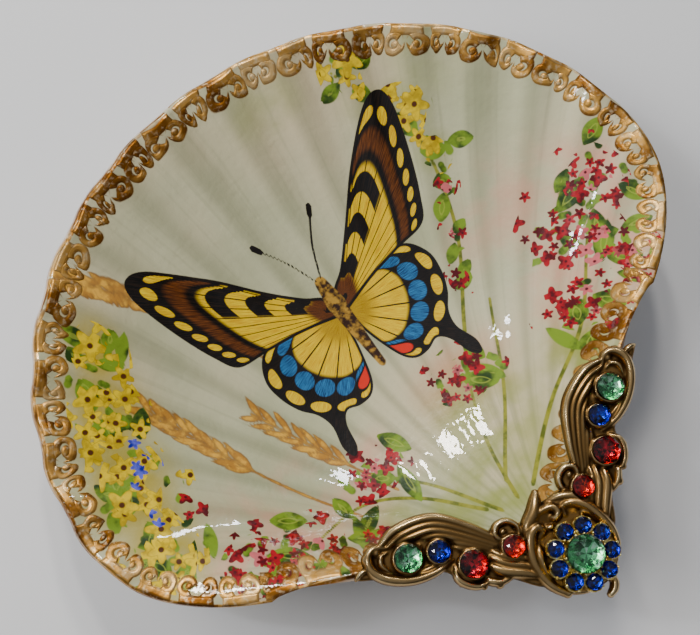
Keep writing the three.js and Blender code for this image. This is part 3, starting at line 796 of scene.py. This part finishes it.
# Raised work of an arm: route, width and height at the fullest place.
ARM_WORK = [
    ([(12.6, 1.9), (18.8, 5.3), (25.2, 7.4), (31.8, 6.0), (35.4, 3.2)], 2.1, 1.7),
    ([(13.0, 1.5), (19.2, 4.4), (25.2, 6.2), (30.8, 5.0), (34.0, 2.9)], 1.75, 1.55),
    ([(13.6, 1.1), (19.6, 3.5), (25.0, 5.1), (29.6, 4.3), (32.6, 3.4)], 1.65, 1.45),
    ([(14.4, 0.8), (19.8, 2.7), (24.0, 4.0), (27.4, 3.9)], 1.6, 1.3),
    ([(15.2, 0.5), (19.6, 1.9), (22.2, 2.9)], 1.5, 1.2),
    ([(16.4, 0.1), (19.6, 1.1), (21.8, 1.7)], 1.4, 1.05),
    ([(34.4, 2.9), (36.4, 3.0), (37.7, 1.5), (37.2, -1.0), (34.4, -2.8), (30.0, -3.4), (25.6, -2.5), (22.4, -0.6)],
     2.1, 1.6),
    ([(34.0, 2.0), (35.2, 1.4), (35.3, -0.2), (33.6, -1.8)], 1.3, 1.2),
    ([(30.4, -2.6), (27.2, -1.9), (24.4, -0.9)], 1.4, 1.0),
    ([(4.0, -5.9), (9.0, -4.6), (12.8, -3.8), (15.4, -2.4)], 2.4, 1.6),
    ([(4.6, -4.2), (9.0, -3.2), (12.4, -2.4), (15.0, -0.9)], 2.0, 1.4),
    ([(5.5, -2.4), (8.2, -1.9), (12.4, -1.2), (14.8, 0.2)], 1.7, 1.2),
    ([(11.0, -4.7), (13.6, -5.6), (15.6, -5.3), (16.4, -4.3)], 1.7, 1.35),
    ([(15.4, -5.2), (17.8, -5.9), (20.0, -5.3), (21.6, -4.0), (21.9, -1.8)], 1.7, 1.4),
    ([(9.2, 2.2), (9.4, 4.2), (11.2, 5.3), (13.2, 4.7), (13.8, 3.1), (12.9, 2.1), (11.9, 2.4)], 1.5, 1.5),
    ([(36.4, -1.2), (38.2, -0.8), (39.4, -1.3), (40.2, -2.2)], 1.2, 1.1),
    ([(36.8, 2.6), (38.2, 1.6), (38.5, 0.2)], 1.1, 1.1),
]
ARM_BEADS = [
    ((12.2, 3.4), 0.8), ((36.0, 2.2), 0.85), ((28.0, 2.5), 0.62), ((26.7, 3.4), 0.5), ((21.9, 3.1), 0.5),
    ((14.0, -6.0), 0.85), ((16.9, -6.1), 0.6), ((20.9, -5.0), 0.75),
]
ARM_STONES = [
    ("green", (30.4, 0.5), 2.65), ("blue", (24.6, 1.1), 2.1), ("red", (18.5, -1.9), 2.65),
    ("orange", (10.7, 0.5), 2.1),
]
# Raised work of the roundel: the same, and how full its ends are.
ROUNDEL_WORK = [
    ([(-6.4, -6.8), (-7.8, -3.4), (-7.8, 0.6), (-6.6, 3.6), (-4.8, 5.7), (-3.2, 6.0), (-2.7, 5.0), (-3.5, 4.4)],
     3.0, 2.1, 0.35),
    ([(-6.9, -4.6), (-6.8, -0.8), (-5.9, 2.0), (-4.7, 3.6)], 2.0, 1.9, 0.3),
    ([(-6.2, 3.4), (-4.6, 6.8), (-1.4, 8.6), (1.1, 11.0)], 3.2, 1.8, 0.25),
    ([(-3.4, 7.2), (-1.0, 7.9), (1.4, 7.3), (1.9, 5.9), (0.8, 5.3), (0.2, 6.1)], 2.1, 2.2, 0.35),
    ([(-1.6, 5.6), (-1.2, 4.6), (-0.2, 4.5)], 1.4, 1.7, 0.4),
    ([(1.2, 8.4), (4.4, 7.5), (6.8, 5.3), (8.1, 2.0)], 2.4, 1.9, 0.3),
    ([(2.7, 4.5), (3.4, 6.0), (5.4, 5.2), (6.8, 3.0), (7.5, 0.2), (7.7, -3.0), (7.0, -5.8)], 2.5, 2.2, 0.35),
    ([(4.7, 2.0), (5.5, 2.9), (6.3, 1.9), (6.8, -0.4)], 1.6, 1.8, 0.35),
    ([(1.6, -8.8), (1.9, -10.4), (1.0, -11.5), (-0.2, -11.9)], 1.8, 1.3, 0.7),
]


def corner_relief(grid):
    """How far inside the corner's edge each place of its plan lies, and the relief's height there."""
    reach = np.full(len(grid), -FAR)
    height = np.zeros(len(grid))

    def near(points, margin):
        low, high = points.min(0) - margin, points.max(0) + margin
        return np.flatnonzero(((grid > low) & (grid < high)).all(1))

    def raise_to(ids, edge, top):
        reach[ids] = np.maximum(reach[ids], edge)
        height[ids] = np.maximum(height[ids], top)

    def plate(edge):
        loop = curve(np.vstack([edge, edge[:1]]), len(edge) * 5)
        ids = near(loop, 1.0)
        away = route_distance(grid[ids], loop, 0.0)
        signed = np.where(inside_loop(grid[ids], loop), away, -away)
        raise_to(ids, signed, PLATE * np.clip(signed / 0.5 + 0.4, 0, 1))

    def ridge(route, width, tall, tip=0.35):
        """A raised line with a round top, fullest a little past its middle."""
        line = curve(route, 40)
        ids = near(line, width)
        p = grid[ids]
        best, share = np.full(len(p), 99.0), np.zeros(len(p))
        for i in range(len(line) - 1):
            a, ab = line[i], line[i + 1] - line[i]
            t = np.clip(((p - a) @ ab) / max(ab @ ab, 1e-9), 0, 1)
            away = np.linalg.norm(p - (a + t[:, None] * ab), axis=1)
            closer = away < best
            best[closer] = away[closer]
            share[closer] = ((i + t) / (len(line) - 1))[closer]
        full = tip + (1 - tip) * np.sin(math.pi * (0.05 + 0.9 * share**1.25)) ** 0.7
        half = width / 2 * full
        dome = np.sqrt(np.clip(1 - (best / half) ** 2, 0, 1))
        raise_to(ids, half - best, np.where(best < half, PLATE * 0.55 + tall * full * dome, 0))

    def ball(centre, radius):
        ids = near(np.array([centre]), radius + 0.3)
        away = np.linalg.norm(grid[ids] - centre, axis=1)
        dome = PLATE * 0.6 + radius * 1.2 * np.sqrt(np.clip(1 - (away / radius) ** 2, 0, 1))
        raise_to(ids, radius - away, np.where(away < radius, dome, 0))

    for side in (1, -1):
        plate(on_arm(ARM_EDGE, side))
        for route, width, tall in ARM_WORK:
            ridge(on_arm(route, side), width, tall)
        for at, radius in ARM_BEADS:
            ball(on_arm(at, side)[0], radius)
    # The roundel: a dished disc, a plume round its back, and its other work.
    middle = np.array([0, ROUNDEL_Y])
    away = np.linalg.norm(grid - middle, axis=1)
    disc = ROUNDEL_RADIUS - 0.2
    dished = PLATE + 0.3 + 0.5 * np.clip((away - 6) / 2, 0, 1)
    raise_to(slice(None), disc - away, np.where(away < disc, dished, 0))
    share = np.linspace(0, 1, 12)
    bearing = np.radians(98 + 134 * share)
    plume = np.column_stack([np.sin(bearing), np.cos(bearing)]) * (7.8 + 0.1 * share)[:, None]
    ridge(middle + plume, 2.3, 1.7, 0.6)
    for route, width, tall, tip in ROUNDEL_WORK:
        ridge(route, width, tall, tip)
    # Flats under the stones, and a raised lip round each.
    for side in (1, -1):
        for _, at, radius in ARM_STONES:
            away = np.linalg.norm(grid - on_arm(at, side)[0], axis=1) - radius
            lip = SEAT + 0.2 - ((away - 0.16) / 0.2) ** 2
            height = np.where((away > 0) & (away < 0.45), np.maximum(height, lip), height)
            height = np.where(away < 0.12, SEAT, height)
            reach = np.maximum(reach, 0.5 - away)
    sunk = np.linalg.norm(grid - [0, CLUSTER_Y], axis=1) < RING_RADIUS + RING_STONE + 0.1
    return reach, np.where(sunk, np.minimum(height, ROUNDEL_FLOOR), height)


def soften(field, times):
    """A field on a grid, each time levelled a little with its neighbours."""
    for _ in range(times):
        p = np.pad(field, 1, mode="edge")
        field = (p[:-2, 1:-1] + p[2:, 1:-1] + p[1:-1, :-2] + p[1:-1, 2:] + 2 * field) / 6
    return field


def four_corners(field):
    """The sum over the four corners of every cell of a grid."""
    return field[:-1, :-1] + field[1:, :-1] + field[:-1, 1:] + field[1:, 1:]


def build_corner():
    """The stamping as one relief: height over its plan is the highest of all its raised work."""
    gx, gy = np.meshgrid(np.arange(-36.5, 36.5, CELL), np.arange(-14.5, 27.5, CELL), indexing="ij")
    fields = corner_relief(np.column_stack([gx.ravel(), gy.ravel()]))
    reach, height = (field.reshape(gx.shape) for field in fields)
    kept = four_corners(reach) > 0
    padded = np.pad(kept, 1)
    uses = four_corners(padded.astype(int))
    used, on_edge = uses > 0, (uses > 0) & (uses < 4)
    # Points on the edge of the kept cells move onto the true edge.
    step_x, step_y = np.gradient(reach, CELL)
    shift = np.where(on_edge, np.clip(reach / np.maximum(step_x**2 + step_y**2, 0.25), -CELL, CELL), 0)
    px, py = gx - shift * step_x, gy - shift * step_y
    top = soften(np.maximum(height, 0.35), 2)
    top = np.where(on_edge, np.minimum(top, 0.75), top)
    relief = top - soften(top, 30)
    count = int(used.sum())
    index = np.full(gx.shape, -1)
    index[used] = np.arange(count)
    flat = np.column_stack([px[used] + CORNER_OFF_MIDDLE, py[used]])
    upper = np.column_stack([flat, top[used] + GLUE])
    lower = np.column_stack([flat, np.full(count, GLUE)])
    i, j = np.nonzero(kept)
    quads = np.stack([index[i, j], index[i + 1, j], index[i + 1, j + 1], index[i, j + 1]], 1)
    walls = []
    for di, dj, a, b in ((-1, 0, 3, 0), (1, 0, 1, 2), (0, -1, 0, 1), (0, 1, 2, 3)):
        q = quads[~padded[i + 1 + di, j + 1 + dj]]
        walls.append(np.stack([q[:, b], q[:, a], q[:, a] + count, q[:, b] + count], 1))
    faces = np.concatenate([quads, quads[:, ::-1] + count] + walls)
    corner = make_object("antiqued_corner", to_row(np.concatenate([upper, lower])), faces)
    crest = np.concatenate([relief[used], np.zeros(count)])
    store(corner, "relief", np.outer(crest, [1, 0, 0]))
    corner.data.materials.append(antiqued_brass())
    return corner


# ---- Stones and prongs ----


def cut_stone(name, radius, sides, glass, backing):
    """A cut stone on its flat back: table, two rows of crown facets, girdle, and foil facets beneath."""
    height = radius * CROWN
    turned, twice = 2 * math.pi / sides, 2 * sides

    def ring(share, level, count, offset=0.0):
        a = turned * sides / count * (np.arange(count) + offset)
        x, y = radius * share * np.cos(a), radius * share * np.sin(a)
        return np.column_stack([x, y, np.full(count, height * level)])

    rings = [
        ring(0.5, 1.0, sides), ring(0.76, 0.8, sides, 0.5), ring(1.0, 0.42, twice), ring(0.98, 0.3, twice),
        ring(0.84, 0.0, twice), ring(0.93, 0.32, twice), ring(0.66, 0.2, sides, 0.25),
        ring(0.32, 0.1, sides, 0.75),
    ]
    starts = np.cumsum([0] + [len(r) for r in rings])
    table, star, girdle, under, base, brim, middle, inner = starts[:-1]
    points = np.concatenate(rings + [[[0, 0, height * 0.05]]])
    tip = starts[-1]
    faces = [tuple(range(sides))]
    for k in range(sides):
        after, before = (k + 1) % sides, (k - 1) % sides
        faces.append((table + k, star + k, table + after))
        faces.append((table + k, star + before, girdle + 2 * k, star + k))
        faces.append((star + k, girdle + 2 * k, girdle + 2 * k + 1))
        faces.append((star + k, girdle + 2 * k + 1, girdle + (2 * k + 2) % twice))
    for k in range(twice):
        after = (k + 1) % twice
        faces.append((girdle + k, under + k, under + after, girdle + after))
        faces.append((under + k, base + k, base + after, under + after))
    faces.append(tuple(range(base + twice - 1, base - 1, -1)))
    glass_faces = len(faces)
    for k in range(sides):
        after = (k + 1) % sides
        faces.append((brim + 2 * k, brim + 2 * k + 1, middle + k))
        faces.append((brim + 2 * k + 1, brim + (2 * k + 2) % twice, middle + k))
        faces.append((middle + k, brim + (2 * k + 2) % twice, middle + after))
        faces.append((middle + k, middle + after, inner + k))
        faces.append((middle + after, inner + after, inner + k))
        faces.append((inner + k, inner + after, tip))
    obj = make_object(name, points * 0.001, faces, smooth=False)
    obj.data.materials.append(glass)
    obj.data.materials.append(backing)
    backed = np.arange(len(faces)) >= glass_faces
    obj.data.polygons.foreach_set("material_index", backed.astype(np.int32))
    # A random value for each facet, which picks the foil's painted shade, full colour or painted glint.
    shade = obj.data.attributes.new("facet", "FLOAT_VECTOR", "FACE")
    shade.data.foreach_set("vector", np.repeat(rng.uniform(0, 1, len(faces)), 3).astype(np.float32))
    flag = obj.data.attributes.new("backing", "BOOLEAN", "FACE")
    flag.data.foreach_set("value", backed)
    return obj


def rim_matrix():
    """The rim frame's place in the row frame, in metres."""
    return Matrix.Translation(Vector(BEAK * 0.001)) @ Matrix.Rotation(RIM_TIP, 4, "X")


def set_on(shape, spot, turn):
    """Puts a shape on its spot in the rim frame, its place kept in the mesh."""
    place = Matrix.Translation(Vector(spot) * 0.001) @ Matrix.Rotation(turn, 4, "Z")
    shape.data.transform(rim_matrix() @ place)
    return shape


def repeated(name, shape, spots, turns, spread, first, second):
    """Geometry Nodes set a copy of a shape on each spot, turned and a little varied, as one plain mesh."""
    holder = make_object(name, np.asarray(spots) * 0.001, [])
    turn = holder.data.attributes.new("turn", "FLOAT", "POINT")
    turn.data.foreach_set("value", np.asarray(turns, np.float32))
    tree = bpy.data.node_groups.new(name, "GeometryNodeTree")
    kinds = {
        "Geometry": "Geometry", "Shape": "Object", "Least Size": "Float", "Most Size": "Float", "Seed": "Int",
        "First Finish": "Material", "Backing Finish": "Material",
    }
    for word, kind in kinds.items():
        tree.interface.new_socket(word, in_out="INPUT", socket_type="NodeSocket" + kind)
    tree.interface.new_socket("Geometry", in_out="OUTPUT", socket_type="NodeSocketGeometry")
    add = Nodes(tree).node
    given = add("NodeGroupInput").outputs
    info = add("GeometryNodeObjectInfo", {"Object": given["Shape"]})
    kept_turn = add("GeometryNodeInputNamedAttribute", {"Name": "turn"}, data_type="FLOAT")
    angle = add("ShaderNodeCombineXYZ", {"Z": kept_turn.outputs[0]})
    limits = {"Min": given["Least Size"], "Max": given["Most Size"], "Seed": given["Seed"]}
    size = add("FunctionNodeRandomValue", data_type="FLOAT")
    for socket in size.inputs:
        if socket.enabled and socket.name in limits:
            tree.links.new(limits[socket.name], socket)
    amount = next(s for s in size.outputs if s.enabled)
    place = add("GeometryNodeInstanceOnPoints", {
        "Points": given["Geometry"], "Instance": info.outputs["Geometry"],
        "Rotation": angle.outputs[0], "Scale": amount,
    })
    real = add("GeometryNodeRealizeInstances", {0: place.outputs[0]})
    painted = add("GeometryNodeSetMaterial", {"Geometry": real.outputs[0], "Material": given["First Finish"]})
    flag = add("GeometryNodeInputNamedAttribute", {"Name": "backing"}, data_type="BOOLEAN")
    picked = next(s for s in flag.outputs if s.enabled)
    backed = add("GeometryNodeSetMaterial", {
        "Geometry": painted.outputs[0], "Selection": picked, "Material": given["Backing Finish"],
    })
    add("NodeGroupOutput", {0: backed.outputs[0]})
    modifier = holder.modifiers.new(name, "NODES")
    modifier.node_group = tree
    ids = {s.name: s.identifier for s in tree.interface.items_tree if s.in_out == "INPUT"}
    values = {
        "Shape": shape, "Least Size": 1 - spread, "Most Size": 1 + spread, "Seed": 11,
        "First Finish": first, "Backing Finish": second,
    }
    for word, value in values.items():
        modifier[ids[word]] = value
    plain = bpy.data.meshes.new_from_object(holder.evaluated_get(bpy.context.evaluated_depsgraph_get()))
    holder.modifiers.clear()
    holder.data = plain
    plain.transform(rim_matrix())
    bpy.data.objects.remove(shape)
    return holder


# Each foil: its painted shade colour, its full colour, and its painted glint colour.
GLASSES = {
    "green": (cut_glass("green_glass", "#c9f7da"), foil("green_foil", "#2f7048", "#a2eebc", "#f6fffa")),
    "blue": (cut_glass("blue_glass", "#3a68ec"), foil("blue_foil", "#020834", "#1243c4", "#9fe4ff")),
    "red": (cut_glass("red_glass", "#ee3450"), foil("red_foil", "#3a0008", "#d41e40", "#ffb4c0")),
    "orange": (cut_glass("orange_glass", "#f7541e"), foil("orange_foil", "#6a0d00", "#ee4a14", "#ffd87a")),
}
SETTING_FOOT = GLUE + ROUNDEL_FLOOR + GLUE
RING_COUNT = 9
RING_TURNS = [2 * math.pi * (i + 0.25) / RING_COUNT for i in range(RING_COUNT)]
CENTRE_CLAWS = 14
CLAW_SIDES = 8
CLAW_LEVELS = [(0.30, 0.0), (0.26, 0.9), (0.34, 1.15), (0.30, 1.45), (0.14, 1.62)]  # radius and height


def ring_spot(turn, height, reach=RING_RADIUS):
    """A spot at its bearing round the middle of the setting."""
    return (CORNER_OFF_MIDDLE + reach * math.cos(turn), CLUSTER_Y + reach * math.sin(turn), height)


def build_stones():
    """Every stone with the names of the solids that it stands for."""
    made = []
    centre = cut_stone("cut_centre_green", CENTRE_STONE, 12, *GLASSES["green"])
    spot = (CORNER_OFF_MIDDLE, CLUSTER_Y, SETTING_FOOT + SETTING + 2 * CUP + GLUE)
    made.append((set_on(centre, spot, 0.2), "glass_green", ["stone_centre_green"]))
    foot = SETTING_FOOT + SETTING + CUP + GLUE
    pattern = cut_stone("ring_pattern", RING_STONE, 7, *GLASSES["blue"])
    spots = [ring_spot(turn, foot) for turn in RING_TURNS]
    turns = [5.1 * k for k in range(RING_COUNT)]
    ring = repeated("cut_ring_blue", pattern, spots, turns, 0.0, *GLASSES["blue"])
    made.append((ring, "glass_blue", [f"stone_ring_blue_{i + 1}" for i in range(RING_COUNT)]))
    for word, side in (("right", 1), ("left", -1)):
        for colour, at, radius in ARM_STONES:
            x, y = on_arm(at, side)[0]
            stone = cut_stone(f"cut_{word}_{colour}", radius, 10, *GLASSES[colour])
            set_on(stone, (x + CORNER_OFF_MIDDLE, y, GLUE + SEAT + GLUE), side)
            made.append((stone, "glass_" + colour, [f"stone_{word}_{colour}"]))
    return made


def build_prongs(gilt):
    """Small claws that hold the nine ring stones and the middle one."""
    steps = [2 * math.pi * k / CLAW_SIDES for k in range(CLAW_SIDES)]
    around = [(math.cos(a), math.sin(a)) for a in steps]
    points = [(r * c, r * s, z) for r, z in CLAW_LEVELS for c, s in around]
    faces = [tuple(range(CLAW_SIDES))[::-1], tuple(range(len(points) - CLAW_SIDES, len(points)))]
    for row in range(len(CLAW_LEVELS) - 1):
        for k in range(CLAW_SIDES):
            a, b = row * CLAW_SIDES + k, row * CLAW_SIDES + (k + 1) % CLAW_SIDES
            faces.append((a, b, b + CLAW_SIDES, a + CLAW_SIDES))
    claw = make_object("claw", np.array(points) * 0.001, faces)
    spots, turns = [], []
    reach = RING_STONE + 0.05
    for turn in RING_TURNS:
        x, y, z = ring_spot(turn, SETTING_FOOT + SETTING)
        for k in range(4):
            way = turn + math.pi / 4 + k * math.pi / 2
            spots.append((x + reach * math.cos(way), y + reach * math.sin(way), z))
            turns.append(way)
    for k in range(CENTRE_CLAWS):
        way = 2 * math.pi * k / CENTRE_CLAWS
        spots.append(ring_spot(way, SETTING_FOOT + SETTING + CUP - 0.05, CENTRE_STONE + 0.08))
        turns.append(way)
    return repeated("setting_claws", claw, spots, turns, 0.06, gilt, gilt)


# ---- The object ----

shell = build_shell()
corner = build_corner()
gilt = bright_gilt()
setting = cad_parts["gilt_setting"]
setting.data.materials.clear()
setting.data.materials.append(gilt)
claws = build_prongs(gilt)
stones = build_stones()
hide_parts("scallop_shell")
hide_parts("brass_corner")
for stone, slot, nodes in stones:
    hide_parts(*nodes)
for piece in [shell, corner, claws] + [stone for stone, _, _ in stones]:
    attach(piece, "root")

# ---- Table, light and camera ----

paper = Finish("pale_table", Roughness=0.6)
tone = paper.noise(6.0, 2.0)
paper_material = paper.finish(Base_Color=paper.mix(paper.ramp(tone, 0.3, 0.7), "#d3d6da", "#dadce0"))
floor = make_object("table_top", [(-9, -9, 0), (9, -9, 0), (9, 9, 0), (-9, 9, 0)], [(0, 1, 2, 3)])
floor.data.materials.append(paper_material)


def lamp(name, direction, distance, size, power, colour):
    """A lamp in metres from the origin, facing it."""
    light = bpy.data.lights.new(name, "AREA")
    light.shape = "RECTANGLE"
    light.size, light.size_y = size
    light.energy = power
    light.color = linear(colour)[:3]
    obj = bpy.data.objects.new(name, light)
    bpy.context.collection.objects.link(obj)
    way = Vector(direction).normalized()
    obj.location = way * distance
    obj.rotation_euler = way.to_track_quat("Z", "Y").to_euler()
    return obj


lamp("window_pane_a", (0.20, 0.66, 0.72), 0.9, (0.055, 0.15), 2.2, "#fff8ee")
lamp("window_pane_b", (0.33, 0.62, 0.72), 0.9, (0.055, 0.15), 2.2, "#fff8ee")
lamp("side_window", (-0.43, 0.50, 0.75), 1.0, (0.04, 0.14), 1.2, "#f4f7ff")
lamp("low_window", (0.70, 0.46, 0.50), 1.0, (0.07, 0.07), 0.9, "#f4f7ff")
wide = lamp("wide_fill", (-0.5, 0.55, 0.66), 0.75, (0.45, 0.45), 5.1, "#fffaf2")
wide.visible_glossy = False

# A room that is bright above and to the window's side, dark low down and behind.
world = bpy.data.worlds.new("room")
bpy.context.scene.world = world
world.use_nodes = True
room = Nodes(world.node_tree)
bearings = {0: room.add("TexCoord"), 1: (-0.25, 0.55, 0.8)}
facing = room.add("VectorMath", bearings, out=1, operation="DOT_PRODUCT")
glow = room.mix(room.ramp(facing, -0.1, 1.0), "#6b6862", "#eef2fa")
room.set(room.tree.nodes["Background"], {0: glow, 1: 0.42})

# The camera in the rim frame, as fitted to the rim and the stones in the photograph.
FOCAL_PIXELS, PICTURE_WIDTH, SENSOR_WIDTH = 1473.68, 700, 36
CAMERA_AT = np.array([-61.19, 23.97, 271.68])
VIEW = np.array([0.2081, 0.1234, -0.9703])
UP = np.array([0.6097, 0.7593, 0.2273])
camera_data = bpy.data.cameras.new("camera")
camera_data.sensor_width = SENSOR_WIDTH
camera_data.lens = SENSOR_WIDTH * FOCAL_PIXELS / PICTURE_WIDTH
camera = bpy.data.objects.new("camera", camera_data)
bpy.context.collection.objects.link(camera)
origin, tip, top = to_row([CAMERA_AT, CAMERA_AT + VIEW, CAMERA_AT + UP])
back = -Vector(tip - origin).normalized()
upward = Vector(top - origin)
upward = (upward - back * upward.dot(back)).normalized()
side_way = upward.cross(back)
camera.matrix_world = Matrix(
    [(side_way[k], upward[k], back[k], origin[k]) for k in range(3)] + [(0, 0, 0, 1)]
)
bpy.context.scene.camera = camera
